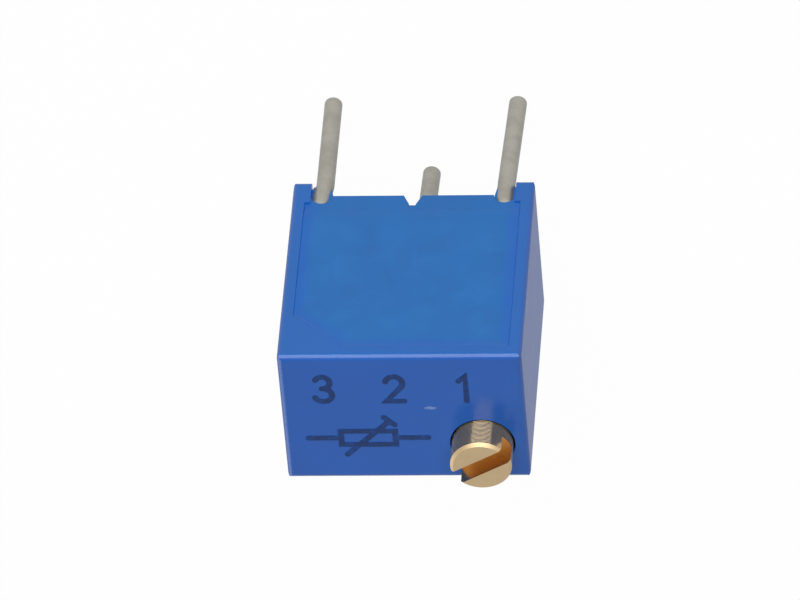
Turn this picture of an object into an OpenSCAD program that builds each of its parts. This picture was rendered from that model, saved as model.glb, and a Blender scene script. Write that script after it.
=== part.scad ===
// Sealed multi-turn trimmer potentiometer, quarter-inch square, screw on the side opposite the pins.
// Origin on the board, under the middle of the body. +Z is up, and -Y is the face with the blue seal.

/* [Body] */
// Width of the body, along X
body_w = 6.71; // [6.6:0.01:9]
// Thickness of the body, along Y
body_t = 4.6; // [4.5:0.01:6]
// Height from the board to the face with the screw
body_h = 7.09; // [7:0.01:9]
// Height of the two rails that the body stands on
rail_h = 0.51; // [0.3:0.01:0.55]
// Width of each rail
rail_w = 0.6; // [0.3:0.01:0.65]
// Radius of the moulding's outer edges
edge_r = 0.16; // [0.05:0.01:0.2]
// Side walls around the seal
side_wall = 0.355; // [0.3:0.005:0.45]
// Wall between the seal and the screw's face
top_wall = 0.4; // [0.3:0.01:0.5]
// Wall between the seal and the board
floor_wall = 0.35; // [0.3:0.01:0.45]
// Depth of the resin that runs down over the front of that wall
spill_t = 0.1; // [0.05:0.01:0.15]
// Width of the pocket's filled corner, which makes the substrate fit one way round
key_w = 1.49; // [1:0.01:1.6]
// Height of that corner
key_h = 1.26; // [0.9:0.01:1.4]
// Wall behind the rotor
back_wall = 0.45; // [0.4:0.01:0.6]

/* [Pins] */
// Diameter of a pin
pin_d = 0.5; // [0.4:0.01:0.6]
// Distance between the two outer pins
pin_span = 5.08; // [4.6:0.01:5.2]
// Distance from the outer pins back to the middle one
pin_row = 2.54; // [2.2:0.01:2.7]
// How far the outer pins lie behind the front face
pin_inset = 0.05; // [0.03:0.01:0.1]
// Reach of the outer pins below the board's surface
pin_reach = 3.58; // [2:0.01:6]
// Reach of the middle pin
pin_2_reach = 3.48; // [2:0.01:6]
// Radius at a pin's tip
pin_tip_r = 0.1; // [0.05:0.01:0.19]
// Height at which the pins end beside the substrate
pin_top = 2.3; // [2.2:0.01:2.8]
// Radius of the bends, to the pin's axis
pin_bend_r = 0.4; // [0.3:0.01:0.45]
// How far pin 1 leans out below the body, in degrees
pin_1_lean = 2.3; // [0:0.1:3]
// How far pin 2 leans to the screw's side, in degrees
pin_2_lean = 1.8; // [0:0.1:3]
// How far pin 3's root is set out from the rest of it
pin_3_set = 0.08; // [0.03:0.01:0.08]
// Angle of the outer pins' step from the notch to the substrate
pin_step_angle = 35; // [30:1:45]
// Height above the body's underside at which the outer pins step back
step_rise = 0.15; // [0.1:0.01:0.2]
// Resin under the middle pin, where it runs along its channel
channel_cover = 0.08; // [0.06:0.01:0.1]
// Height of the middle notch above the body's underside
mouth_h = 0.48; // [0.4:0.01:0.5]
// How far back the middle notch is open
mouth_depth = 0.6; // [0.5:0.01:0.65]

/* [Screw] */
// Wall between the screw's bore and the body's side
screw_side_wall = 0.35; // [0.2:0.01:0.4]
// Wall between the screw's bore and the back face
screw_back_wall = 0.4; // [0.2:0.01:0.45]
// Diameter of the head and the journals
head_d = 1.7; // [1.5:0.01:1.85]
// Height of the head above the body
head_h = 0.94; // [0.4:0.01:1.4]
// Chamfer round the head
head_chamfer = 0.08; // [0.02:0.01:0.15]
// Width of the slot
slot_w = 0.47; // [0.3:0.01:0.7]
// Depth of the slot
slot_depth = 0.6; // [0.3:0.01:0.8]
// Direction of the slot at rest, in degrees from X
slot_angle = 30; // [0:1:180]
// Depth of the O-ring's groove below the body's face, to its middle
ring_depth = 0.62; // [0.55:0.01:0.7]
// Thickness of the O-ring's cord
ring_cord = 0.33; // [0.3:0.01:0.36]
// Depth of the clip's groove below the body's face, to its middle
clip_depth = 1.42; // [1.38:0.01:1.5]
// Thickness of the clip
clip_t = 0.25; // [0.2:0.01:0.28]
// Diameter of the screw in the clip's groove
clip_neck_d = 1.2; // [1:0.01:1.3]
// How far the clip reaches past the screw's bore
clip_reach = 0.07; // [0.04:0.01:0.1]
// Diameter of the pilot at the screw's foot
pilot_d = 0.8; // [0.7:0.01:0.9]
// Height of the pilot's end above the body's underside
pilot_end = 0.65; // [0.6:0.01:0.8]

/* [Worm drive] */
// Teeth on the gear
gear_teeth = 17; // [14:1:17]
// Module of the teeth
tooth_module = 0.235; // [0.195:0.005:0.235]
// How far the worm's crest lies inside the bore's journal
worm_inset = 0.09; // [0.05:0.01:0.12]
// Length of the worm
worm_l = 2.3; // [1.6:0.01:2.5]
// Height of the gear's axis above the board
gear_z = 3.65; // [3.6:0.01:3.75]
// Width of the teeth
tooth_w = 1.1; // [0.8:0.01:1.2]
// Play between a tooth and the worm's thread
tooth_play = 0.07; // [0.05:0.01:0.1]
// Diameter of the housing's post that carries the rotor
post_d = 1.2; // [1:0.01:1.4]
// Thickness of the rotor in front of the post
rotor_face = 0.71; // [0.5:0.01:0.9]

/* [Element] */
// Resin in front of the pins where they are soldered
lap_cover = 0.31; // [0.26:0.01:0.36]
// How far the seal lies below the housing's front edge
seal_dip = 0.05; // [0.02:0.01:0.1]
// Thickness of the substrate
substrate_t = 0.5; // [0.4:0.01:0.6]
// Height of the substrate's foot above the channel's roof
substrate_rise = 0.15; // [0.1:0.01:0.2]
// Resin between the substrate's edges and the pocket's walls
substrate_gap = 0.1; // [0.08:0.01:0.12]
// Ledge that the substrate lies on, at its foot and its top
seat_ledge = 0.3; // [0.2:0.01:0.35]
// Ledge that the substrate lies on, at its sides
side_ledge = 0.12; // [0.08:0.01:0.12]
// Thickness of the printed films
film_t = 0.03; // [0.02:0.005:0.04]
// Inner radius of the resistive arc
track_in = 1.3; // [1.2:0.01:1.4]
// Outer radius of the resistive arc
track_out = 1.8; // [1.7:0.01:1.9]
// Half the angle that the resistive arc spans
track_half = 130; // [127:1:132]
// Inner radius of the collector ring
collector_in = 0.2; // [0.1:0.01:0.3]
// Outer radius of the collector ring
collector_out = 0.7; // [0.6:0.01:0.8]
// Radius of the plated holes
via_r = 0.12; // [0.08:0.01:0.14]
// Width of the printed leads
lead_w = 0.2; // [0.15:0.01:0.25]
// Height of the solder's foot above the board
solder_foot = 1.5; // [1.4:0.01:1.6]
// How far the solder rises above the end of a pin
solder_crown = 0.15; // [0.1:0.01:0.3]
// Thickness of the solder around a pin
solder_wall = 0.11; // [0.08:0.01:0.12]
// Distance from the substrate to the rotor, in which the wiper bends
wiper_gap = 0.6; // [0.5:0.01:0.65]
// Thickness of the wiper's strip
wiper_t = 0.07; // [0.05:0.01:0.08]
// Width of each finger
finger_w = 0.16; // [0.12:0.01:0.18]

/* [Fits] */
// Radial clearance of what turns in the housing
running_gap = 0.05; // [0.03:0.01:0.06]
// Clearance at the ends of what turns
end_gap = 0.04; // [0.02:0.01:0.06]
// Clearance of the clip in its seat, and of the wiper on its studs
seat_gap = 0.02; // [0.01:0.01:0.03]
// Clearance between a pin and its notch
notch_gap = 0.05; // [0.03:0.01:0.1]
// Clearance between the middle pin and the walls of its channel
channel_gap = 0.03; // [0.02:0.01:0.08]
// Clearance of the O-ring in the bore
ring_gap = 0.01; // [0.01:0.01:0.03]
// Clearance at the sides of the O-ring in its groove
ring_side_gap = 0.045; // [0.02:0.005:0.06]
// Solder between a pin and its pad
pad_gap = 0.01; // [0.01:0.01:0.03]
// Clearance between the screw's shoulder and the teeth that pass it
pass_gap = 0.2; // [0.1:0.01:0.2]

/* [Hidden] */
$fn = 64;
past = 0.2;                       // how far a cut runs past the face that it opens

// Planes, front to back
front_y = -body_t / 2;
back_y = body_t / 2;
seal_y = front_y + seal_dip;
substrate_y = seal_y + lap_cover + pin_d + pad_gap + film_t;
seat_y = substrate_y + substrate_t;
track_y = seat_y + film_t;
rotor_y = seat_y + wiper_gap;
pocket_y = rotor_y - running_gap;
post_y = rotor_y + rotor_face + end_gap;
chamber_back_y = back_y - back_wall;

// Planes, upwards
under_z = rail_h;
seal_foot_z = under_z + floor_wall;
seal_top_z = body_h - top_wall;
run_z = under_z + channel_cover + pin_d / 2;    // axis of the middle pin in its channel
channel_top_z = run_z + pin_d / 2 + notch_gap;

// Inside widths
seal_half_w = body_w / 2 - side_wall;
substrate_half_w = seal_half_w - substrate_gap;
substrate_foot = channel_top_z + substrate_rise;
substrate_top = seal_top_z - substrate_gap;
pocket_half_w = substrate_half_w - side_ledge;
pocket_foot_z = substrate_foot + seat_ledge;
pocket_top_z = substrate_top - seat_ledge;

// Screw and rotor
head_r = head_d / 2;
bore_r = head_r + running_gap;
pilot_r = pilot_d / 2;
screw_x = screw_side_wall + bore_r - body_w / 2;
screw_y = back_y - screw_back_wall - bore_r;
tooth_out = 0.9 * tooth_module;
tooth_in = 1.1 * tooth_module;
worm_tip_r = head_r - worm_inset;
worm_r = worm_tip_r - tooth_out;
gear_r = gear_teeth * tooth_module / 2;
worm_pitch = PI * tooth_module;
lead_angle = atan(tooth_module / (2 * worm_r));
gear_x = screw_x + worm_r + gear_r;
gear_tip_r = gear_r + tooth_out;
gear_root_r = gear_r - tooth_in;
chamber_r = gear_tip_r + 2 * running_gap;
thread_half = (worm_pitch / 2 - tooth_play) / 2;
flank = tan(20);
worm_foot_z = gear_z - worm_l / 2;
bore_foot_z = worm_foot_z - 0.4;  // room for the teeth that pass under the worm
// The shoulder above the worm clears the teeth that pass it
shoulder_z = gear_z + sqrt(gear_tip_r ^ 2 - (gear_x - screw_x - head_r) ^ 2) + pass_gap;
worm_core_r = worm_r - tooth_in;
pilot_z = under_z + pilot_end;
ring_z = body_h - ring_depth;
ring_r = bore_r - ring_gap - ring_cord / 2;
groove_r = ring_r - ring_cord / 2;
groove_h = ring_cord + 2 * ring_side_gap;
clip_z = body_h - clip_depth;
clip_back_y = screw_y + bore_r + clip_reach;

// Wiper, around the rotor's axis
wiper_base_w = 1.5;
wiper_base_foot = -1.1;
wiper_base_top = -0.4;
stud_x = 0.55;
stud_z = -0.75;
stud_r = 0.15;
track_finger_x = 0.4;
collector_finger_x = 0.12;
touch_r = 0.07;                   // radius of a finger's contact

// Pins
pin_r = pin_d / 2;
pin_x = pin_span / 2;
pin_y = front_y + pin_inset + pin_r;
mid_pin_y = pin_y + pin_row;
notch_w = pin_d + 2 * notch_gap;
channel_w = pin_d + 2 * channel_gap;
channel_back_y = mid_pin_y + channel_w / 2;
lean_bend_r = 3;                  // soft bend at a leaning pin's root
lean_z = -0.1;                    // height at which a pin's lean ends
set_angle = 10;                   // slope of pin 3 where it is set sideways
set_top_z = under_z - 0.1;        // height at which pin 3 is upright again
step_z = under_z + step_rise;
pin_roots = [-pin_x, 0, pin_x + pin_3_set / 2];
pad_y = substrate_y - film_t;     // front of the solder pads
lap_y = pad_y - pad_gap - pin_r;  // where a pin runs up the substrate
notch_end_y = lap_y + pin_r + notch_gap;
solder_r = pin_r + solder_wall;
solder_top = pin_top + solder_crown;
pad_half_w = pin_r + solder_wall / 2;
via_z = (solder_foot + pin_top) / 2;
via_pad_r = via_r + 0.08;

// ---------------------------------------------------------------- housing

// A plate with round corners, as exact arcs
module round_plate(w, h, r) {
    square([w - 2 * r, h], center = true);
    square([w, h - 2 * r], center = true);
    for (sx = [-1, 1], sy = [-1, 1])
        translate([sx * (w / 2 - r), sy * (h / 2 - r)]) circle(r);
}

// The moulding's outer form, with every outer edge rounded
module outer_form() {
    translate([0, 0, body_h / 2]) intersection() {
        linear_extrude(body_h, center = true) round_plate(body_w, body_t, edge_r);
        rotate([90, 0, 0]) linear_extrude(body_t, center = true) round_plate(body_w, body_h, edge_r);
        rotate([90, 0, 90]) linear_extrude(body_w, center = true) round_plate(body_t, body_h, edge_r);
    }
}

// The space between the rails, which leaves the body's lower edges round
module recess() {
    half = body_w / 2 - rail_w;
    translate([-half, 0, 0]) rotate([90, 0, 90]) linear_extrude(2 * half) difference() {
        translate([front_y - past, -past]) square([body_t + 2 * past, under_z + edge_r + past]);
        translate([front_y + edge_r, under_z]) square([body_t - 2 * edge_r, 2 * edge_r]);
        for (y = [front_y + edge_r, back_y - edge_r]) translate([y, under_z + edge_r]) circle(edge_r);
    }
}

// Where resin covers the front of the wall under the seal, between the outer pins
module spill() {
    translate([-pin_x, front_y - past, under_z])
        cube([pin_span, seal_dip + spill_t + past, seal_foot_z - under_z]);
}

// A cut in the floor, open to the front, with a round end at the back
module floor_slot(x, w, end_y, z0, z1) {
    translate([x - w / 2, front_y - past, z0]) cube([w, end_y - w / 2 - front_y + past, z1 - z0]);
    translate([x, end_y - w / 2, z0]) cylinder(d = w, h = z1 - z0);
}

// The open mouth of the middle channel, which narrows to a round top
module channel_mouth() {
    top_r = 0.1;
    translate([0, front_y + mouth_depth, under_z]) rotate([90, 0, 0])
        linear_extrude(mouth_depth + past) union() {
            translate([0, mouth_h - top_r]) circle(top_r);
            polygon([
                [-channel_w / 2, -past], [channel_w / 2, -past], [channel_w / 2, 0],
                [top_r, mouth_h - top_r], [-top_r, mouth_h - top_r], [-channel_w / 2, 0]
            ]);
        }
}

// What lies past the slanted face of the pocket's filled corner, or past an inset from it
module key_corner(inset = 0) {
    slant = norm([key_w, key_h]);
    translate([seal_half_w, 0, seal_top_z - key_h]) rotate([0, atan2(key_h, key_w), 0])
        translate([-2 * slant, -body_t, -inset]) cube([3 * slant, 2 * body_t, 2 * slant]);
}

// Slot that the clip slides into from the rotor's side
module clip_seat() {
    w = head_d + 2 * seat_gap;
    t = clip_t + 2 * seat_gap;
    translate([screw_x - w / 2, pocket_y - past, clip_z - t / 2])
        cube([w, clip_back_y + seat_gap - pocket_y + past, t]);
}

module housing() {
    color([0.23, 0.42, 0.71]) difference() {
        outer_form();
        recess();
        spill();
        // Front pocket, filled by the seal, and the substrate's seat
        difference() {
            translate([-seal_half_w, front_y - past, seal_foot_z])
                cube([2 * seal_half_w, seat_y - front_y + past, seal_top_z - seal_foot_z]);
            key_corner();
        }
        // Room for the wiper
        difference() {
            translate([-pocket_half_w, seat_y - past, pocket_foot_z])
                cube([2 * pocket_half_w, pocket_y - seat_y + past, pocket_top_z - pocket_foot_z]);
            key_corner(substrate_gap + side_ledge);
        }
        // Rotor chamber, around the housing's post
        translate([gear_x, pocket_y - past, gear_z]) rotate([-90, 0, 0]) difference() {
            cylinder(r = chamber_r, h = chamber_back_y - pocket_y + past);
            translate([0, 0, post_y - pocket_y + past]) cylinder(d = post_d, h = body_t);
        }
        // Screw's bore, its pilot and the clip's seat
        translate([screw_x, screw_y, bore_foot_z]) cylinder(r = bore_r, h = body_h);
        translate([screw_x, screw_y, pilot_z - end_gap])
            cylinder(r = pilot_r + running_gap, h = bore_foot_z - pilot_z + past);
        clip_seat();
        // Notches of the outer pins, and the middle pin's channel
        for (side = [-1, 1])
            floor_slot(side * pin_x, notch_w, notch_end_y, -past, seal_foot_z + past);
        floor_slot(0, channel_w, channel_back_y, under_z - past, channel_top_z);
        channel_mouth();
    }
}

// ---------------------------------------------------------------- screw

// Helical thread as one solid, its foot sunk into the core
module worm_thread() {
    steps = 20;                                 // rings for each turn
    plain_end = 0.15;                           // core left bare at each end
    turns = (worm_l - 2 * thread_half - 2 * plain_end) / worm_pitch;
    count = ceil(turns * steps);
    sunk_r = worm_core_r - 0.06;
    half_at = function (r) thread_half + (worm_r - r) * flank;
    profile = [
        [sunk_r, -half_at(worm_core_r)], [worm_tip_r, -half_at(worm_tip_r)],
        [worm_tip_r, half_at(worm_tip_r)], [sunk_r, half_at(worm_core_r)]
    ];
    // The middle of the thread faces the gear at the height of its axis
    angle_at = function (i) (i - count / 2) * 360 / steps;
    points = [
        for (i = [0:count]) let (a = angle_at(i))
            for (p = profile)
                [p[0] * cos(a), p[0] * sin(a), gear_z + p[1] + worm_pitch * a / 360]
    ];
    sides = [
        for (i = [0:count - 1]) for (k = [0:3]) let (n = (k + 1) % 4)
            each [
                [4 * i + k, 4 * i + n, 4 * i + 4 + n],
                [4 * i + k, 4 * i + 4 + n, 4 * i + 4 + k]
            ]
    ];
    ends = [
        [0, 3, 2], [0, 2, 1],
        [4 * count, 4 * count + 1, 4 * count + 2], [4 * count, 4 * count + 2, 4 * count + 3]
    ];
    polyhedron(points, concat(sides, ends));
}

module adjustment_screw() {
    top_z = body_h + head_h;
    neck_r = clip_neck_d / 2;
    neck_half = clip_t / 2 + seat_gap;
    lead_in = 0.06;
    shoulder_slope = 0.1;
    color([0.73, 0.62, 0.4]) difference() {
        translate([screw_x, screw_y, 0]) {
            // Turned from one bar: pilot, worm core, shoulders, grooves and head
            rotate_extrude() polygon([
                [0, pilot_z], [pilot_r - lead_in, pilot_z],
                [pilot_r, pilot_z + lead_in], [pilot_r, worm_foot_z],
                [worm_core_r, worm_foot_z], [worm_core_r, shoulder_z - shoulder_slope],
                [head_r, shoulder_z],
                [head_r, clip_z - neck_half], [neck_r, clip_z - neck_half],
                [neck_r, clip_z + neck_half], [head_r, clip_z + neck_half],
                [head_r, ring_z - groove_h / 2], [groove_r, ring_z - groove_h / 2],
                [groove_r, ring_z + groove_h / 2], [head_r, ring_z + groove_h / 2],
                [head_r, top_z - head_chamfer], [head_r - head_chamfer, top_z], [0, top_z]
            ]);
            worm_thread();
        }
        translate([screw_x, screw_y, top_z - slot_depth]) rotate([0, 0, slot_angle])
            translate([-head_d, -slot_w / 2, 0]) cube([2 * head_d, slot_w, slot_depth + past]);
    }
}

module screw_o_ring() {
    color([0.5, 0.2, 0.15]) translate([screw_x, screw_y, ring_z])
        rotate_extrude() translate([ring_r, 0]) circle(d = ring_cord);
}

// U-shaped plate that straddles the screw's groove
module screw_retaining_clip() {
    inner_r = clip_neck_d / 2 + running_gap / 2;
    color([0.75, 0.76, 0.78]) translate([0, 0, clip_z - clip_t / 2]) difference() {
        translate([screw_x - head_r, pocket_y, 0])
            cube([head_d, clip_back_y - pocket_y, clip_t]);
        translate([screw_x, screw_y, -past]) cylinder(r = inner_r, h = clip_t + 2 * past);
        translate([screw_x - inner_r, screw_y, -past])
            cube([2 * inner_r, body_t, clip_t + 2 * past]);
    }
}

// ---------------------------------------------------------------- rotor

// Straight tooth, tilted to the worm's lead, on the gear's side that faces the worm
module gear_tooth() {
    sunk = 0.15;
    half_at = function (r) thread_half + (gear_r - r) * flank;
    rotate([lead_angle, 0, 0]) rotate([-90, 0, 0])
        linear_extrude(tooth_w, center = true)
            polygon([
                [-(gear_root_r - sunk), -half_at(gear_root_r)], [-(gear_root_r - sunk), half_at(gear_root_r)],
                [-gear_tip_r, half_at(gear_tip_r)], [-gear_tip_r, -half_at(gear_tip_r)]
            ]);
}

module worm_gear() {
    rotor_back_y = chamber_back_y - end_gap;
    stud_head = 0.06;
    color([0.93, 0.92, 0.86]) difference() {
        union() {
            translate([gear_x, rotor_y, gear_z]) rotate([-90, 0, 0])
                cylinder(r = gear_root_r, h = rotor_back_y - rotor_y);
            translate([gear_x, screw_y, gear_z]) for (i = [0:gear_teeth - 1])
                rotate([0, (i + 0.5) * 360 / gear_teeth, 0]) gear_tooth();
            // Studs that hold the wiper
            for (side = [-1, 1])
                translate([gear_x + side * stud_x, rotor_y - wiper_t - stud_head, gear_z + stud_z])
                    rotate([-90, 0, 0]) cylinder(r = stud_r, h = wiper_t + stud_head + past);
        }
        translate([gear_x, post_y - end_gap, gear_z]) rotate([-90, 0, 0])
            cylinder(r = post_d / 2 + running_gap, h = body_t);
    }
}

// One finger: a strip that slopes from the base to a round contact on the film
module finger(x, reach) {
    base_y = rotor_y - wiper_t;
    tip_y = track_y + seat_gap + touch_r;
    bend_z = wiper_base_top + 0.05;
    root_z = wiper_base_top - 0.05;
    translate([gear_x + x - finger_w / 2, 0, gear_z]) rotate([90, 0, 90])
        linear_extrude(finger_w) union() {
            polygon([
                [base_y, root_z], [base_y + wiper_t, root_z], [base_y + wiper_t, bend_z],
                [tip_y + wiper_t, reach], [tip_y, reach], [base_y, bend_z]
            ]);
            translate([tip_y, reach]) circle(r = touch_r);
        }
}

module wiper_contact() {
    color([0.83, 0.72, 0.45]) {
        difference() {
            translate([gear_x - wiper_base_w / 2, rotor_y - wiper_t, gear_z + wiper_base_foot])
                cube([wiper_base_w, wiper_t, wiper_base_top - wiper_base_foot]);
            for (side = [-1, 1])
                translate([gear_x + side * stud_x, rotor_y - wiper_t - past, gear_z + stud_z])
                    rotate([-90, 0, 0]) cylinder(r = stud_r + seat_gap, h = wiper_t + 2 * past);
        }
        for (side = [-1, 1]) {
            finger(side * track_finger_x, (track_in + track_out) / 2);
            finger(side * collector_finger_x, (collector_in + collector_out) / 2);
        }
    }
}

// ---------------------------------------------------------------- element

// Lays a printed shape on the substrate's back, with its origin on the rotor's axis
module film() {
    translate([gear_x, track_y, gear_z]) rotate([90, 0, 0]) linear_extrude(film_t) children();
}

// Part of a flat ring, from one angle to another
module film_arc(r0, r1, a0, a1) {
    film() difference() {
        intersection() {
            circle(r1);
            polygon([[0, 0], for (i = [0:12]) let (a = a0 + (a1 - a0) * i / 12) 3 * r1 * [cos(a), sin(a)]]);
        }
        circle(r0);
    }
}

// A straight printed lead between two places on the substrate's back
module film_lead(from, to) {
    run = to - from;
    translate([from[0], track_y, from[1]]) rotate([90, 0, 0]) rotate([0, 0, atan2(run[1], run[0])])
        linear_extrude(film_t) translate([0, -lead_w / 2]) square([norm(run), lead_w]);
}

// Plated hole through the substrate, with a pad on each side
module via(x) {
    translate([x, track_y, via_z]) rotate([90, 0, 0]) {
        cylinder(r = via_r, h = film_t + substrate_t + film_t);
        cylinder(r = via_pad_r, h = film_t);
    }
    translate([x - pad_half_w, pad_y, solder_foot])
        cube([2 * pad_half_w, film_t, solder_top - solder_foot]);
}

module ceramic_substrate() {
    color([0.93, 0.93, 0.9]) difference() {
        translate([-substrate_half_w, substrate_y, substrate_foot])
            cube([2 * substrate_half_w, substrate_t, substrate_top - substrate_foot]);
        key_corner(substrate_gap);
        for (x = pin_roots)
            translate([x, substrate_y - past, via_z]) rotate([-90, 0, 0])
                cylinder(r = via_r, h = substrate_t + 2 * past);
    }
}

module resistive_track() {
    color([0.16, 0.16, 0.17]) film_arc(track_in, track_out, 90 - track_half, 90 + track_half);
}

module end_conductors() {
    pad_sweep = 16;
    lead_sweep = 10;
    mid_r = (track_in + track_out) / 2;
    color([0.8, 0.8, 0.78]) for (side = [-1, 1]) {
        a = 90 + side * track_half;
        b = a + side * pad_sweep;
        film_arc(track_in, track_out, min(a, b), max(a, b));
        lead_a = a + side * lead_sweep;
        root_x = side < 0 ? pin_roots[2] : pin_roots[0];
        film_lead([gear_x + mid_r * cos(lead_a), gear_z + mid_r * sin(lead_a)], [root_x, via_z]);
        via(root_x);
    }
}

module collector_conductor() {
    color([0.8, 0.8, 0.78]) {
        film() difference() {
            circle(collector_out);
            circle(collector_in);
        }
        film_lead([gear_x, gear_z - (collector_in + collector_out) / 2], [0, via_z]);
        via(0);
    }
}

// ---------------------------------------------------------------- pins

// Bend of a pin from +Z towards +X, starting at the origin
module pin_bend(angle, bend_r) {
    translate([bend_r, 0, 0]) rotate([90, 0, 180])
        rotate_extrude(angle = angle) translate([bend_r, 0]) circle(pin_r);
}

// A bent wire that starts up +Z. Each step is a straight length, then a bend towards a heading, in degrees
module wire(steps, i = 0) {
    if (i < len(steps)) {
        length = steps[i][0];
        angle = steps[i][1];
        heading = steps[i][2];
        cylinder(r = pin_r, h = length);
        translate([0, 0, length]) rotate([0, 0, heading]) {
            if (angle > 0) pin_bend(angle, pin_bend_r);
            translate([pin_bend_r, 0, 0]) rotate([0, angle, 0]) translate([-pin_bend_r, 0, 0])
                rotate([0, 0, -heading]) wire(steps, i + 1);
        }
    }
}

// The round tip of a pin, pointing down, with a core that reaches into the straight part
module pin_tip() {
    core_r = pin_r - pin_tip_r;
    rotate_extrude() {
        square([core_r, pin_tip_r]);
        intersection() {
            translate([core_r, pin_tip_r]) circle(pin_tip_r);
            square([pin_r, pin_tip_r]);
        }
    }
    translate([0, 0, pin_tip_r / 2]) cylinder(r = core_r, h = pin_tip_r);
}

// Wire steps of an outer pin from its straight root to its end on the substrate
function step_back(from_z) =
    let (
        bow = pin_bend_r * (1 - cos(pin_step_angle)),
        slope = (lap_y - pin_y - 2 * bow) / sin(pin_step_angle),
        rise = 2 * pin_bend_r * sin(pin_step_angle) + slope * cos(pin_step_angle)
    ) [
        [step_z - from_z, pin_step_angle, 90],
        [slope, pin_step_angle, -90],
        [pin_top - step_z - rise, 0, 0]
    ];

// A pin whose straight part leans to -X up to the board, and then follows the steps
module leaning_pin(x, y, reach, lean, steps) {
    drop = lean_bend_r * sin(lean);
    shift = lean_bend_r * (1 - cos(lean));
    below = (reach + lean_z - drop) / cos(lean);
    translate([x, y, lean_z]) {
        translate([-shift, 0, -drop]) rotate([0, lean, 0]) {
            translate([0, 0, -below]) pin_tip();
            translate([0, 0, pin_tip_r - below]) cylinder(r = pin_r, h = below - pin_tip_r);
            if (lean > 0) rotate([0, 0, 180]) pin_bend(lean, lean_bend_r);
        }
        wire(steps);
    }
}

// Pin 1, in the corner under the screw
module outer_pin_leaning() {
    leaning_pin(-pin_x, pin_y, pin_reach, pin_1_lean, step_back(lean_z));
}

// Pin 2: along its channel to the front, then up the substrate
module middle_pin() {
    leaning_pin(0, mid_pin_y, pin_2_reach, pin_2_lean, [
        [run_z - pin_bend_r - lean_z, 90, -90],
        [mid_pin_y - lap_y - 2 * pin_bend_r, 90, 90],
        [pin_top - run_z - pin_bend_r, 0, 0]
    ]);
}

// Pin 3: straight below the board, and set sideways where it comes out of its notch
module outer_pin_set() {
    bow = pin_bend_r * (1 - cos(set_angle));
    slope = (pin_3_set - 2 * bow) / sin(set_angle);
    rise = 2 * pin_bend_r * sin(set_angle) + slope * cos(set_angle);
    translate([pin_x - pin_3_set / 2, pin_y, -pin_reach]) {
        pin_tip();
        translate([0, 0, pin_tip_r]) wire(concat(
            [
                [pin_reach + set_top_z - rise - pin_tip_r, set_angle, 0],
                [slope, set_angle, 180]
            ],
            step_back(set_top_z)
        ));
    }
}

module terminal_pin_1() { color([0.64, 0.63, 0.6]) outer_pin_leaning(); }
module terminal_pin_2() { color([0.64, 0.63, 0.6]) middle_pin(); }
module terminal_pin_3() { color([0.64, 0.63, 0.6]) outer_pin_set(); }

// Solder around each pin, against its pad
module solder_blanks() {
    for (x = pin_roots) intersection() {
        translate([x, lap_y, solder_foot]) cylinder(r = solder_r, h = solder_top - solder_foot);
        translate([x - solder_r, front_y, solder_foot])
            cube([2 * solder_r, pad_y - front_y, solder_top - solder_foot]);
    }
}

module pin_ends() {
    terminal_pin_1();
    terminal_pin_2();
    terminal_pin_3();
}

module solder_joints() {
    color([0.78, 0.78, 0.78]) difference() {
        solder_blanks();
        for (x = pin_roots)
            translate([x, lap_y, solder_foot - past]) cylinder(r = pin_r, h = pin_top - solder_foot + past);
    }
}

// ---------------------------------------------------------------- seal

// Resin that rounds off the top of an outer pin's notch
module notch_lip(x) {
    lip_r = notch_w / 2;
    difference() {
        intersection() {
            floor_slot(x, notch_w, notch_end_y, seal_foot_z - lip_r, seal_foot_z);
            translate([-body_w / 2, seal_y, 0]) cube([body_w, body_t, body_h]);
        }
        translate([x, front_y - past, seal_foot_z - lip_r])
            rotate([-90, 0, 0]) cylinder(r = lip_r, h = body_t);
    }
}

// Blue resin that fills the front pocket and the middle channel around all that lies in them
module epoxy_seal() {
    color([0.24, 0.46, 0.73]) difference() {
        union() {
            difference() {
                translate([-seal_half_w, seal_y, seal_foot_z])
                    cube([2 * seal_half_w, seat_y - seal_y, seal_top_z - seal_foot_z]);
                key_corner();
            }
            intersection() {
                floor_slot(0, channel_w, channel_back_y, under_z + seal_dip, channel_top_z);
                translate([-body_w / 2, front_y + mouth_depth, 0]) cube([body_w, body_t, body_h]);
            }
            for (side = [-1, 1]) {
                notch_lip(side * pin_x);
                // Behind the pin in its notch
                intersection() {
                    floor_slot(side * pin_x, notch_w, notch_end_y, under_z, seal_foot_z);
                    translate([-body_w / 2, pin_y, 0]) cube([body_w, body_t, body_h]);
                }
            }
            // Over the wall under the pocket, but not in the outer pins' notches
            difference() {
                intersection() {
                    spill();
                    translate([-body_w / 2, seal_y, 0]) cube([body_w, body_t, body_h]);
                }
                for (side = [-1, 1]) floor_slot(side * pin_x, notch_w, notch_end_y, 0, seal_foot_z);
            }
        }
        // The substrate and its pads
        difference() {
            translate([-substrate_half_w, substrate_y, substrate_foot])
                cube([2 * substrate_half_w, body_t, substrate_top - substrate_foot]);
            key_corner(substrate_gap);
        }
        for (x = pin_roots) via(x);
        solder_blanks();
        pin_ends();
        channel_mouth();
        recess();
    }
}

housing();
epoxy_seal();
adjustment_screw();
screw_o_ring();
screw_retaining_clip();
worm_gear();
wiper_contact();
ceramic_substrate();
resistive_track();
end_conductors();
collector_conductor();
solder_joints();
terminal_pin_1();
terminal_pin_2();
terminal_pin_3();
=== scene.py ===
import math

import bmesh
import bpy
from mathutils import Matrix, Vector, noise


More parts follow.
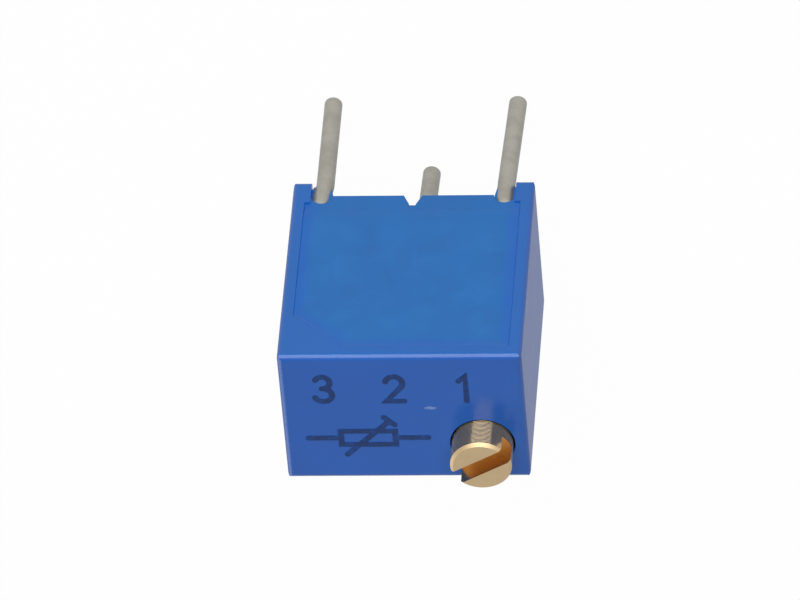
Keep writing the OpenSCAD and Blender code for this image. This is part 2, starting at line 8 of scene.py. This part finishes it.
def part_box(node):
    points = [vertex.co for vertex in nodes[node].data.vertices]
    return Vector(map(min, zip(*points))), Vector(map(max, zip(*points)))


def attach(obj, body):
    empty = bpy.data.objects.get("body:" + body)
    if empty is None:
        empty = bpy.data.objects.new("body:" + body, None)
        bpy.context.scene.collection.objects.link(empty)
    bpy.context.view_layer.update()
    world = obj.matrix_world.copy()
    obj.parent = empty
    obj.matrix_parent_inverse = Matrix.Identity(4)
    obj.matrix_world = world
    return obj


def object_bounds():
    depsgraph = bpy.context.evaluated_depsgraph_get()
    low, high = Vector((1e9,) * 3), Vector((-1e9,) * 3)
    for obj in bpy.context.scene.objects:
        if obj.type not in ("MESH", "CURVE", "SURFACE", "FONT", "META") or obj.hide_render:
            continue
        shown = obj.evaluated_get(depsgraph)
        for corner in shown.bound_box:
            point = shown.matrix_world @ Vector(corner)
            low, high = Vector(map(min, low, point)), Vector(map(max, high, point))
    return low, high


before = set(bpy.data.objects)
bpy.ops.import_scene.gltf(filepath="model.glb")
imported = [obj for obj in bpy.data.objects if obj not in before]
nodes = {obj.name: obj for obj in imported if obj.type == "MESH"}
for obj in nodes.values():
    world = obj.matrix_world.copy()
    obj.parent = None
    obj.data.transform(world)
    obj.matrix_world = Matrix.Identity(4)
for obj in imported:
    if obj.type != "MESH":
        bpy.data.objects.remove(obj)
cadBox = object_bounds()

mm = 0.001
scene = bpy.context.scene


# A CAD node's lowest and highest corner, in millimetres
def corners(name):
    return [tuple(c / mm for c in corner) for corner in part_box(name)]


bodyLow, bodyHigh = corners("housing")
sealLow, sealHigh = corners("epoxy_seal")
screwLow, screwHigh = corners("adjustment_screw")
screwX = (screwLow[0] + screwHigh[0]) / 2
screwY = (screwLow[1] + screwHigh[1]) / 2


# The camera looks down on the screw's face and the seal, rolled so that the pins point up
view = {
    "aim": (0.325, -0.580, 2.998),           # mm
    "towards": (-0.0910, -0.6800, 0.7275),   # from the aim to the camera
    "up": (-0.0061, -0.7302, -0.6833),
    "distance": 328.3,                       # mm
    "lens": 535.2,                           # mm, on the sensor's width below
    "sensor": 36,
    "clip": (0.01, 20),                      # m
}


def makeCamera():
    data = bpy.data.cameras.new("camera")
    data.lens = view["lens"]
    data.sensor_width = view["sensor"]
    data.clip_start, data.clip_end = view["clip"]
    camera = bpy.data.objects.new("camera", data)
    scene.collection.objects.link(camera)
    back = Vector(view["towards"]).normalized()
    right = Vector(view["up"]).cross(back).normalized()
    up = back.cross(right)
    turn = Matrix((right, up, back)).transposed().to_4x4()
    place = (Vector(view["aim"]) + back * view["distance"]) * mm
    camera.matrix_world = Matrix.Translation(place) @ turn
    scene.camera = camera


makeCamera()
print("camera done")


# A number socket that takes part in Python expressions
class Value:
    def __init__(self, shader, socket):
        self.shader = shader
        self.socket = socket

    def maths(self, operation, *values):
        made = self.shader.node("ShaderNodeMath", {"operation": operation}, dict(enumerate(values)))
        return Value(self.shader, made.outputs[0])

    def __add__(self, other):
        return self.maths("ADD", self, other)

    def __radd__(self, other):
        return self.maths("ADD", other, self)

    def __sub__(self, other):
        return self.maths("SUBTRACT", self, other)

    def __rsub__(self, other):
        return self.maths("SUBTRACT", other, self)

    def __mul__(self, other):
        return self.maths("MULTIPLY", self, other)

    def __rmul__(self, other):
        return self.maths("MULTIPLY", other, self)

    def __truediv__(self, other):
        return self.maths("DIVIDE", self, other)

    def __rtruediv__(self, other):
        return self.maths("DIVIDE", other, self)

    def __pow__(self, other):
        return self.maths("POWER", self, other)

    def __rpow__(self, other):
        return self.maths("POWER", other, self)

    def larger(self, other):
        return self.maths("MAXIMUM", self, other)

    def size(self):
        return self.maths("ABSOLUTE", self)

    def part(self):
        return self.maths("FRACT", self)

    # 0 at low, 1 at high, and a soft step between them
    def step(self, low, high):
        made = self.shader.node("ShaderNodeMapRange", {"interpolation_type": "SMOOTHSTEP"},
                                {"Value": self, "From Min": low, "From Max": high})
        return Value(self.shader, made.outputs[0])


# The nodes of a material or of the world
class Shader:
    def __init__(self, owner):
        owner.use_nodes = True
        self.owner = owner
        self.tree = owner.node_tree
        self.surface = self.tree.nodes.get("Principled BSDF")
        self.placeSocket = None

    # Any node: its type, its settings, then the values or links of its sockets
    def node(self, kind, settings=None, values=None):
        made = self.tree.nodes.new(kind)
        for key, value in (settings or {}).items():
            setattr(made, key, value)
        for key, value in (values or {}).items():
            self.feed(made.inputs[key], value)
        return made

    def feed(self, socket, value):
        if isinstance(value, Value):
            self.tree.links.new(value.socket, socket)
        elif isinstance(value, bpy.types.NodeSocket):
            self.tree.links.new(value, socket)
        elif hasattr(value, "__len__") and len(value) == 3 and len(socket.default_value) == 4:
            socket.default_value = (*value, 1)
        else:
            socket.default_value = value

    # The point on the piece, in millimetres
    def place(self):
        if self.placeSocket is None:
            where = self.node("ShaderNodeTexCoord")
            scaled = self.node("ShaderNodeVectorMath", {"operation": "SCALE"},
                               {"Vector": where.outputs["Object"], "Scale": 1 / mm})
            self.placeSocket = scaled.outputs[0]
        return self.placeSocket

    def axes(self):
        split = self.node("ShaderNodeSeparateXYZ", None, {0: self.place()})
        return [Value(self, out) for out in split.outputs]

    def joined(self, x, y, z):
        return self.node("ShaderNodeCombineXYZ", None, {0: x, 1: y, 2: z}).outputs[0]

    # Noise around 0.5, with features of about size millimetres
    def noise(self, size, detail=3, roughness=0.5, distortion=0, vector=None):
        made = self.node("ShaderNodeTexNoise", None, {
            "Vector": vector or self.place(), "Scale": 1 / size, "Detail": detail,
            "Roughness": roughness, "Distortion": distortion})
        return Value(self, made.outputs["Fac"])

    def mix(self, factor, first, second):
        made = self.node("ShaderNodeMix", {"data_type": "RGBA"}, {0: factor, 6: first, 7: second})
        return made.outputs[2]

    # Distance is the relief in millimetres where the height is 1
    def bump(self, height, strength, distance):
        made = self.node("ShaderNodeBump", None,
                         {"Height": height, "Strength": strength, "Distance": distance * mm})
        self.feed(self.surface.inputs["Normal"], made.outputs["Normal"])

    # 1 where something is looked at, in a mirror or through glass too, and 0 where it gives light
    def seen(self):
        path = self.node("ShaderNodeLightPath")
        rays = [Value(self, path.outputs[f"Is {kind} Ray"]) for kind in ("Camera", "Glossy", "Transmission")]
        return rays[0].larger(rays[1]).larger(rays[2])

    def set(self, **values):
        sockets = {"colour": "Base Color", "roughness": "Roughness", "metallic": "Metallic",
                   "specular": "Specular IOR Level"}
        for key, value in values.items():
            self.feed(self.surface.inputs[sockets[key]], value)


def newMaterial(name):
    return Shader(bpy.data.materials.new(name))


# A colour that is given as it looks on a screen, from 0 to 255
def screen(red, green, blue):
    def linear(c):
        c /= 255
        return c / 12.92 if c <= 0.04045 else ((c + 0.055) / 1.055) ** 2.4
    return tuple(linear(c) for c in (red, green, blue))


def paint(name, shader):
    nodes[name].data.materials.clear()
    nodes[name].data.materials.append(shader.owner)


moulding = {
    "colour": screen(6, 90, 184),
    "shade": screen(4, 86, 178),
    "cloud": 2.2,                 # mm, size of the patches of shade
    "polish": 0.23,               # roughness of the screw's face, the rim and the back
    "sides": 0.42,                # roughness of the two drawn side walls
    "uneven": 0.06,               # how far the roughness wanders
    "specular": 0.45,
    "grain": 0.09,                # mm
    "waves": 0.9,                 # mm
    "relief": 0.01,               # mm
    "behind": {"top": 0.05, "rim": 0.04, "side": 0.08, "back": 0.03},  # mm, where a face's finish starts
    "full": 0.01,                 # mm behind the face, where it is complete
    "smear": 0.45,                # how much resin shows on the rim round the seal
    "paintedHighlightAt": (-0.755, -0.355),  # x and y of a painted highlight beside the markings, a pale spot, in mm
    "paintedHighlightSize": (0.19, 0.075),
    "paintedHighlightColour": screen(118, 148, 200),
    "paintedHighlightRagged": 0.9,           # how far its edge wanders, as a share of its size
    "paintedHighlightGrain": 0.07,           # mm
    "paintedHighlightWhite": 0.8,
    "paintedHighlightRough": 0.2,
    "ejectorAt": (0.0, 3.3),      # x and z of the ejector's mark on the back, in mm
    "ejectorRadius": 0.9,
    "ejectorLine": 0.05,          # half the width of the mark's line
}


def mouldedBlue():
    m = newMaterial("mouldedBlue")
    x, y, z = m.axes()
    behind, full = moulding["behind"], moulding["full"]
    top = z.step(bodyHigh[2] - behind["top"], bodyHigh[2] - full)
    rim = y.step(bodyLow[1] + behind["rim"], bodyLow[1] + full)
    side = x.size().step(bodyHigh[0] - behind["side"], bodyHigh[0] - full)
    back = y.step(bodyHigh[1] - behind["back"], bodyHigh[1] - full)

    # A painted highlight: a pale spot beside the markings, which is also rougher than the face round it
    paintedHighlightX, paintedHighlightY = moulding["paintedHighlightAt"]
    wide, high = moulding["paintedHighlightSize"]
    away = (((x - paintedHighlightX) / wide) ** 2 + ((y - paintedHighlightY) / high) ** 2) ** 0.5
    ragged = moulding["paintedHighlightRagged"] * (m.noise(moulding["paintedHighlightGrain"], 2) - 0.5)
    paintedHighlight = (away + ragged).step(1.0, 0.5) * top

    cloud = m.noise(moulding["cloud"], 2)
    colour = m.mix(cloud.step(0.3, 0.75), moulding["shade"], moulding["colour"])
    # the pale painted highlight goes into the colour here
    colour = m.mix(moulding["paintedHighlightWhite"] * paintedHighlight, colour, moulding["paintedHighlightColour"])
    colour = m.mix(moulding["smear"] * rim, colour, resin["colour"])
    fade = moulding["sides"] - moulding["polish"]
    uneven = moulding["uneven"] * (m.noise(0.6, 3) - 0.5)
    m.set(colour=colour, specular=moulding["specular"],
          roughness=moulding["polish"] + fade * side + moulding["paintedHighlightRough"] * paintedHighlight + uneven)

    ejectorX, ejectorZ = moulding["ejectorAt"]
    radius = ((x - ejectorX) ** 2 + (z - ejectorZ) ** 2) ** 0.5
    line = (radius - moulding["ejectorRadius"]).size().step(moulding["ejectorLine"], 0.0) * back
    grain = m.noise(moulding["grain"], 3, 0.6)
    m.bump(0.5 * grain + m.noise(moulding["waves"], 2) + 1.5 * line, 0.25, moulding["relief"])
    return m


resin = {
    "colour": screen(14, 103, 177),
    "pale": screen(28, 113, 187),
    "dark": screen(13, 98, 171),
    "cloud": 1.3,            # mm, size of the dark clouds
    "paleCloud": 0.8,        # mm
    "fine": 0.16,            # mm
    "relief": 0.012,         # mm
    "roughness": 0.36,
    "uneven": 0.12,
    "specular": 0.45,
    "shaded": (1.9, 0.8),    # mm above the board, from where it darkens and where it is darkest
    "corner": (1.49, 1.26),  # width and height of the pocket's filled corner
    "thinFrom": 0.5,         # mm from the walls, where the fill starts to thin out
    "thin": 0.75,            # how much of the moulding shows through beside the walls
    "wander": 0.3,           # mm, how far the thin edge wanders
}


def resinBlue():
    m = newMaterial("resinBlue")
    x, y, z = m.axes()
    cloud = m.noise(resin["cloud"], 4, 0.6, 0.4)
    fine = m.noise(resin["fine"], 3, 0.6)
    colour = m.mix(cloud.step(0.3, 0.62), resin["dark"], resin["colour"])
    colour = m.mix(0.5 * m.noise(resin["paleCloud"], 3).step(0.45, 0.8), colour, resin["pale"])
    colour = m.mix(0.7 * z.step(*resin["shaded"]), colour, resin["dark"])

    half, top = sealHigh[0], sealHigh[2]
    wide, high = resin["corner"]
    toCorner = ((half - x) * high + (top - high - z) * wide) / math.hypot(wide, high)
    wander = resin["wander"] * (m.noise(0.7, 2) - 0.5)
    thin = (half + wander - x.size()).step(resin["thinFrom"], 0.0)
    for away in (top + wander - z, toCorner + wander):
        thin = thin.larger(away.step(resin["thinFrom"], 0.0))
    m.set(colour=m.mix(resin["thin"] * thin, colour, moulding["colour"]), specular=resin["specular"],
          roughness=resin["roughness"] + resin["uneven"] * (cloud - 0.5))
    m.bump(cloud + 0.3 * fine, 0.3, resin["relief"])
    return m


tin = {
    "colour": screen(168, 165, 156),
    "dull": screen(156, 153, 144),
    "patches": 0.5,     # mm
    "fine": 0.06,       # mm
    "relief": 0.006,    # mm
    "metallic": 0.6,
    "roughness": 0.5,
    "uneven": 0.12,
}


def dullTin():
    m = newMaterial("dullTin")
    patches = m.noise(tin["patches"], 3, 0.55)
    m.set(colour=m.mix(patches.step(0.35, 0.65), tin["dull"], tin["colour"]), metallic=tin["metallic"],
          roughness=tin["roughness"] + tin["uneven"] * (patches - 0.5))
    m.bump(patches + 0.25 * m.noise(tin["fine"], 3), 0.25, tin["relief"])
    return m


brass = {
    "colour": screen(187, 166, 131),
    "worn": screen(176, 152, 118),
    "slot": screen(206, 166, 112),
    "patches": 0.5,              # mm
    "roughness": 0.28,
    "sideRoughness": 0.15,
    "bevelRoughness": 0.5,
    "uneven": 0.12,
    "faceRings": 0.045,          # mm from one turning ring to the next on the end
    "ringHeight": 0.0004,        # mm
    "sideRings": 0.05,           # mm from one ring to the next down the side
    "sideStraight": 0.81,        # share of each ring that is straight wall, before the tool's mark
    "markSlope": 0.727,          # slope of the mark, which faces up
    "headRadius": 0.85,
    # Where each finish starts and where it is full, in mm inside the head's side and below its end
    "slotInside": (0.005, 0.03),
    "slotBelow": (0.02, 0.2),
    "sideInside": (0.02, 0.003),
    "sideBelow": (0.06, 0.1),
    "bevelInside": (0.09, 0.07),
    "bevelBelow": (0.1, 0.06),   # gives way to the side's over the same height
}


def turnedBrass():
    m = newMaterial("turnedBrass")
    x, y, z = m.axes()
    radius = ((x - screwX) ** 2 + (y - screwY) ** 2) ** 0.5
    end = screwHigh[2]

    def inside(name):
        return radius.step(*(brass["headRadius"] - depth for depth in brass[name]))

    def below(name):
        return z.step(*(end - depth for depth in brass[name]))

    slot = below("slotBelow") * inside("slotInside")
    side = inside("sideInside") * below("sideBelow")
    bevel = inside("bevelInside") * below("bevelBelow")
    patches = m.noise(brass["patches"], 3, 0.6)
    worn = m.mix(patches, brass["worn"], brass["colour"])
    onSide = brass["sideRoughness"] - brass["roughness"]
    onBevel = brass["bevelRoughness"] - brass["roughness"]
    m.set(colour=m.mix(slot, worn, brass["slot"]), metallic=1.0,
          roughness=brass["roughness"] + onSide * side + onBevel * bevel + brass["uneven"] * (patches - 0.5))

    turned = m.joined(radius / brass["faceRings"], 0.0, z / brass["faceRings"])
    rings = m.noise(1, 2, 0.7, vector=turned)
    marks = (((end - z) / brass["sideRings"]).part() - brass["sideStraight"]).larger(0.0)
    markHeight = brass["sideRings"] * brass["markSlope"]
    m.bump(brass["ringHeight"] * rings + markHeight * side * marks, 1.0, 1)
    return m


# The pieces inside: screen colours, size of the patches in mm, and finish
inner = {
    "redRubber": {
        "on": ["screw_o_ring"], "colour": (120, 52, 40), "shade": (104, 42, 34),
        "patches": 0.2, "roughness": 0.55, "metallic": 0.0},
    "springSteel": {
        "on": ["screw_retaining_clip"], "colour": (190, 192, 196), "shade": (160, 162, 168),
        "patches": 0.3, "roughness": 0.32, "metallic": 1.0},
    "whiteNylon": {
        "on": ["worm_gear"], "colour": (236, 234, 224), "shade": (224, 221, 208),
        "patches": 0.6, "roughness": 0.5, "metallic": 0.0},
    "springAlloy": {
        "on": ["wiper_contact"], "colour": (222, 200, 148), "shade": (196, 172, 120),
        "patches": 0.2, "roughness": 0.28, "metallic": 1.0},
    "firedAlumina": {
        "on": ["ceramic_substrate"], "colour": (238, 238, 232), "shade": (226, 226, 220),
        "patches": 0.3, "roughness": 0.6, "metallic": 0.0},
    "cermetFilm": {
        "on": ["resistive_track"], "colour": (50, 50, 54), "shade": (38, 38, 42),
        "patches": 0.15, "roughness": 0.4, "metallic": 0.0},
    "silverFilm": {
        "on": ["end_conductors", "collector_conductor"], "colour": (206, 205, 200), "shade": (180, 179, 172),
        "patches": 0.2, "roughness": 0.4, "metallic": 0.9},
    "softSolder": {
        "on": ["solder_joints"], "colour": (200, 200, 198), "shade": (170, 170, 168),
        "patches": 0.3, "roughness": 0.3, "metallic": 1.0},
}


innerSurface = {
    "uneven": 0.15,    # how far the roughness wanders
    "fine": 6,         # how many times finer than the patches the grain is
    "relief": 0.01,    # mm
}


def innerMaterial(name, finish):
    m = newMaterial(name)
    patches = m.noise(finish["patches"], 3, 0.6)
    colour = m.mix(patches.step(0.3, 0.7), screen(*finish["shade"]), screen(*finish["colour"]))
    m.set(colour=colour, metallic=finish["metallic"],
          roughness=finish["roughness"] + innerSurface["uneven"] * (patches - 0.5))
    grain = m.noise(finish["patches"] / innerSurface["fine"], 2)
    m.bump(patches + 0.4 * grain, 0.3, innerSurface["relief"])
    return m


resinMaterial = resinBlue()
tinMaterial = dullTin()
paint("housing", mouldedBlue())
paint("epoxy_seal", resinMaterial)
paint("adjustment_screw", turnedBrass())
for pin in ("terminal_pin_1", "terminal_pin_2", "terminal_pin_3"):
    paint(pin, tinMaterial)
for name, finish in inner.items():
    made = innerMaterial(name, finish)
    for piece in finish["on"]:
        paint(piece, made)
print("materials done")


def addPiece(name, bm, material, body):
    bmesh.ops.recalc_face_normals(bm, faces=bm.faces)
    mesh = bpy.data.meshes.new(name)
    bm.to_mesh(mesh)
    bm.free()
    mesh.materials.append(material)
    piece = bpy.data.objects.new(name, mesh)
    scene.collection.objects.link(piece)
    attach(piece, body)


# The resin's own skin over the fill: nearly flat, and drawn up a little where it meets the walls
skin = {
    "columns": 190,
    "rows": 180,
    "foot": 0.95,        # mm above the board, where it runs into the fill
    "fade": 0.45,        # mm above the foot, where it has its full thickness
    "sunk": 0.004,       # mm under the fill's face at the foot
    "base": 0.008,       # thickness over the fill's face
    "waves": 0.005,
    "wavesPerMm": 0.9,
    "climb": 0.034,      # how far it climbs the walls
    "uneven": 0.2,       # share of the climb that wanders
    "unevenPerMm": 1.7,
    "reach": 0.12,       # mm from the wall
    "curve": 1.5,        # how fast the climb ends
    "back": 0.03,        # mm into the fill
}


def makeSealSkin():
    half, top, face = sealHigh[0], sealHigh[2], sealLow[1]
    foot = skin["foot"]
    wide, high = resin["corner"]
    slant = math.hypot(wide, high)

    def topAt(x):
        return top - max(0, x - (half - wide)) * high / wide

    def thickness(x, z):
        toCorner = ((half - x) * high + (top - high - z) * wide) / slant
        wall = max(0, min(half - abs(x), top - z, toCorner))
        wander = noise.noise(Vector((x * skin["unevenPerMm"], 4, z * skin["unevenPerMm"])))
        share = 1 - skin["uneven"] + skin["uneven"] * wander
        climb = skin["climb"] * share * math.exp(-(wall / skin["reach"]) ** skin["curve"])
        waves = skin["waves"] * noise.noise(Vector((x * skin["wavesPerMm"], 0, z * skin["wavesPerMm"])))
        t = min(1, max(0, (z - foot) / skin["fade"]))
        t = t * t * (3 - 2 * t)
        return t * (skin["base"] + waves + climb) - (1 - t) * skin["sunk"]

    bm = bmesh.new()

    def point(x, y, z):
        return bm.verts.new((x * mm, y * mm, z * mm))

    front, backFoot, backTop = [], [], []
    for i in range(skin["columns"] + 1):
        x = half * (2 * i / skin["columns"] - 1)
        heights = [foot + (topAt(x) - foot) * j / skin["rows"] for j in range(skin["rows"] + 1)]
        front.append([point(x, face - thickness(x, z), z) for z in heights])
        backFoot.append(point(x, face + skin["back"], foot))
        backTop.append(point(x, face + skin["back"], topAt(x)))
    for i in range(skin["columns"]):
        for j in range(skin["rows"]):
            made = bm.faces.new((front[i][j], front[i + 1][j], front[i + 1][j + 1], front[i][j + 1]))
            made.smooth = True
        bm.faces.new((backFoot[i], backTop[i], backTop[i + 1], backFoot[i + 1]))
        bm.faces.new((front[i][0], backFoot[i], backFoot[i + 1], front[i + 1][0]))
        bm.faces.new((front[i][-1], front[i + 1][-1], backTop[i + 1], backTop[i]))
    bm.faces.new([*front[0], backTop[0], backFoot[0]])
    bm.faces.new([*reversed(front[-1]), backFoot[-1], backTop[-1]])
    addPiece("sealSkin", bm, resinMaterial.owner, "body")


makeSealSkin()
print("seal skin done")


# Resin drawn out along each outer pin where it leaves its notch
collar = {
    "pinRadius": 0.25,     # mm
    "sunk": 0.005,         # how far the collar's foot lies inside the pin
    "rootX": 2.56,         # mm from the middle of the body
    "from": 0.95,          # heights above the board
    "to": 0.04,
    "wide": 0.13,          # beyond the pin's radius at the notch's roof
    "taper": 0.55,         # how fast it narrows down the pin
    "uneven": 0.06,
    "lumpsAround": 3,      # how fine the unevenness is round the pin
    "lumpsDown": 2,        # and along it
    "frontGap": 0.19,      # how far it stays behind the housing's front
    "around": 56,
    "rings": 16,
}


def makeCollars():
    bm = bmesh.new()
    pinY = corners("terminal_pin_3")[0][1] + collar["pinRadius"]
    front = bodyLow[1] + collar["frontGap"]
    for sideways in (-1, 1):
        rings = []
        for i in range(collar["rings"] + 1):
            t = i / collar["rings"]
            z = collar["from"] + (collar["to"] - collar["from"]) * t
            radius = collar["pinRadius"] - collar["sunk"] + collar["wide"] * (1 - t) ** collar["taper"]
            ring = []
            for k in range(collar["around"]):
                a = 2 * math.pi * k / collar["around"]
                lumps = Vector((collar["lumpsAround"] * math.cos(a), collar["lumpsAround"] * math.sin(a),
                                sideways + collar["lumpsDown"] * z))
                lump = noise.noise(lumps)
                out = radius * (1 + collar["uneven"] * lump)
                x = sideways * collar["rootX"] + out * math.cos(a)
                y = max(front, pinY + out * math.sin(a))
                ring.append(bm.verts.new((x * mm, y * mm, z * mm)))
            rings.append(ring)
        for a, b in zip(rings, rings[1:]):
            for k in range(collar["around"]):
                j = (k + 1) % collar["around"]
                bm.faces.new((a[k], a[j], b[j], b[k])).smooth = True
        bm.faces.new(rings[0])
        bm.faces.new(rings[-1][::-1])
    addPiece("resinCollars", bm, resinMaterial.owner, "body")


makeCollars()
print("collars done")


# Stamped ink on the screw's face: the terminals' numbers, and the symbol of a trimmer.
# Text reads from +X to -X with its top towards the seal.
ink = {
    "colour": screen(6, 44, 98),
    "thin": screen(10, 62, 130),
    "roughness": 0.45,
    "specular": 0.3,
    "wear": 0.16,                # mm, size of the thin spots
    "patches": 0.5,              # mm, size of the areas with more of them
    "relief": 0.004,             # mm
    "stroke": 0.165,             # mm
    "film": 0.008,               # mm over the face
    "layer": 0.0005,             # mm from stroke to stroke, so that crossing ones don't share a plane
    "layers": 4,
    "sunk": 0.004,               # mm into the face
    "mitre": 0.5,                # keeps a sharp corner from running out into a spike
    "capSteps": 6,               # points of a stroke's round end
    "numbersLeft": 2.42,         # x of the first number's left side
    "numbersFoot": -0.62,        # y of the line that the numbers stand on
    "numberHeight": 0.92,
    "numberWidth": 0.56,
    "numberPitch": 1.94,
    "symbolLeft": 2.68,
    "symbolMiddle": 0.76,
    "symbolLength": 3.3,
    "symbolBox": (1.5, 0.5),
    "symbolGap": 0.03,           # mm from a lead's end to the middle of the box's line
    "symbolSlant": (-0.7, -0.71),
    "symbolArm": (0.88, 0.2),    # half the slanted line, and half the bar at its end
}


def arcPoints(middle, radii, start, end, steps=14):
    angles = [math.radians(start + (end - start) * i / steps) for i in range(steps + 1)]
    return [(middle[0] + radii[0] * math.cos(a), middle[1] + radii[1] * math.sin(a)) for a in angles]


# Strokes of each number in a box 1 wide and 1 high
digits = {
    "1": [[(0.22, 0.80), (0.55, 1.0), (0.55, 0.0)]],
    "2": [[*arcPoints((0.5, 0.72), (0.42, 0.28), 165, -28), (0.08, 0.0), (0.95, 0.0)]],
    "3": [arcPoints((0.46, 0.76), (0.37, 0.24), 155, -95), arcPoints((0.46, 0.26), (0.44, 0.26), 92, -158)],
}


# One stroke as a closed film with round ends, or as a loop
def addStroke(bm, points, low, high, loop=False):
    points = [Vector(p) for p in points]
    count = len(points)

    def side(i):
        before = points[i] - points[i - 1] if loop or i > 0 else points[1] - points[0]
        after = points[(i + 1) % count] - points[i] if loop or i < count - 1 else before
        a, b = (Vector((-d.y, d.x)).normalized() for d in (before, after))
        middle = (a + b).normalized()
        return middle * (ink["stroke"] / 2) / max(ink["mitre"], middle.dot(a))

    left = [points[i] + side(i) for i in range(count)]
    right = [points[i] - side(i) for i in range(count)]

    def verts(flat, z):
        return [bm.verts.new((p.x * mm, p.y * mm, z * mm)) for p in flat]

    if loop:
        rims = [verts(left, high), verts(right, high), verts(right, low), verts(left, low)]
        for i in range(count):
            j = (i + 1) % count
            for a, b in zip(rims, rims[1:] + rims[:1]):
                bm.faces.new((a[i], a[j], b[j], b[i]))
        return

    def cap(middle, start):
        steps = ink["capSteps"]
        return [middle + Matrix.Rotation(-math.pi * k / steps, 2) @ (start - middle) for k in range(1, steps)]

    outline = left + cap(points[-1], left[-1]) + right[::-1] + cap(points[0], right[0])
    over, under = verts(outline, high), verts(outline, low)
    bm.faces.new(over)
    bm.faces.new(under[::-1])
    for i in range(len(outline)):
        j = (i + 1) % len(outline)
        bm.faces.new((over[i], under[i], under[j], over[j]))


def stampedInk():
    m = newMaterial("stampedInk")
    wear = m.noise(ink["wear"], 3, 0.6) + 0.3 * (m.noise(ink["patches"], 2) - 0.5)
    m.set(colour=m.mix(wear.step(0.42, 0.72), ink["colour"], ink["thin"]),
          roughness=ink["roughness"], specular=ink["specular"])
    m.bump(wear, 0.2, ink["relief"])
    return m


def makeMarkings():
    bm = bmesh.new()
    face = bodyHigh[2]
    made = 0

    def draw(points, loop=False):
        nonlocal made
        made += 1
        high = face + ink["film"] + ink["layer"] * (made % ink["layers"])
        addStroke(bm, points, face - ink["sunk"], high, loop)

    foot, wide, high = ink["numbersFoot"], ink["numberWidth"], ink["numberHeight"]
    for place, number in enumerate("321"):
        left = ink["numbersLeft"] - place * ink["numberPitch"]
        for stroke in digits[number]:
            draw([(left - u * wide, foot - v * high) for u, v in stroke])

    left, middle, length = ink["symbolLeft"], ink["symbolMiddle"], ink["symbolLength"]
    halfWide, halfHigh = (size / 2 for size in ink["symbolBox"])
    centre = left - length / 2
    lead = halfWide + ink["symbolGap"]
    draw([(left, middle), (centre + lead, middle)])
    draw([(centre - lead, middle), (left - length, middle)])
    signs = ((1, 1), (1, -1), (-1, -1), (-1, 1))
    draw([(centre + a * halfWide, middle + b * halfHigh) for a, b in signs], True)
    slant = Vector(ink["symbolSlant"])
    across = Vector((-slant.y, slant.x))
    reach, bar = ink["symbolArm"]
    start, end = (Vector((centre, middle)) + way * reach * slant for way in (-1, 1))
    draw([start, end])
    draw([end - bar * across, end + bar * across])
    addPiece("markings", bm, stampedInk().owner, "body")


makeMarkings()
print("markings done")


studio = {
    "floorUnder": 0.01,               # mm below the pins' tips
    "floorSize": 4.0,                 # m
    "floorColour": (1, 1, 1),
    "floorBounce": screen(118, 118, 118),  # its colour to the light that it throws back
    "floorRoughness": 0.9,
    "floorSpecular": 0.1,
    "floorGlow": 0.97,                # the rest takes the shadow
    "worldLevel": 0.2,
}


# The floor is white to look at, and lights the piece only a little from below
def makeFloor():
    z = cadBox[0][2] - studio["floorUnder"] * mm
    half = studio["floorSize"] / 2
    edge = [(-half, -half, z), (half, -half, z), (half, half, z), (-half, half, z)]
    mesh = bpy.data.meshes.new("floor")
    mesh.from_pydata(edge, [], [(0, 1, 2, 3)])
    floor = bpy.data.objects.new("floor", mesh)
    scene.collection.objects.link(floor)
    m = newMaterial("floor")
    seen = m.seen()
    m.set(colour=m.mix(seen, studio["floorBounce"], studio["floorColour"]),
          roughness=studio["floorRoughness"], specular=studio["floorSpecular"])
    glow = m.node("ShaderNodeEmission", None, {"Color": (1, 1, 1), "Strength": 1.0})
    both = m.node("ShaderNodeMixShader", None,
                  {0: studio["floorGlow"] * seen, 1: m.surface.outputs[0], 2: glow.outputs[0]})
    m.feed(m.tree.nodes["Material Output"].inputs["Surface"], both.outputs[0])
    mesh.materials.append(m.owner)


def makeWorld():
    scene.world = bpy.data.worlds.new("studio")
    w = Shader(scene.world)
    back = w.tree.nodes["Background"]
    w.feed(back.inputs["Color"], (1, 1, 1))
    w.feed(back.inputs["Strength"], studio["worldLevel"] + (1 - studio["worldLevel"]) * w.seen())


# Each lamp: the direction it stands in, its distance and width in metres, and its power in watts
lamps = {
    "frontLamp": {"towards": (0.0, -0.84, 0.54), "distance": 0.5, "width": 0.55, "power": 2.95},
    "backLamp": {"towards": (0.75, 0.65, 0.12), "distance": 0.6, "width": 0.7, "power": 1.6},
}


def makeLamps():
    for name, lamp in lamps.items():
        data = bpy.data.lights.new(name, "AREA")
        data.shape = "DISK"
        data.size = lamp["width"]
        data.energy = lamp["power"]
        thing = bpy.data.objects.new(name, data)
        scene.collection.objects.link(thing)
        towards = Vector(lamp["towards"]).normalized()
        thing.location = towards * lamp["distance"]
        thing.rotation_euler = towards.to_track_quat("Z", "Y").to_euler()


scene.view_settings.view_transform = "Standard"
makeFloor()
makeWorld()
makeLamps()
print("studio done")
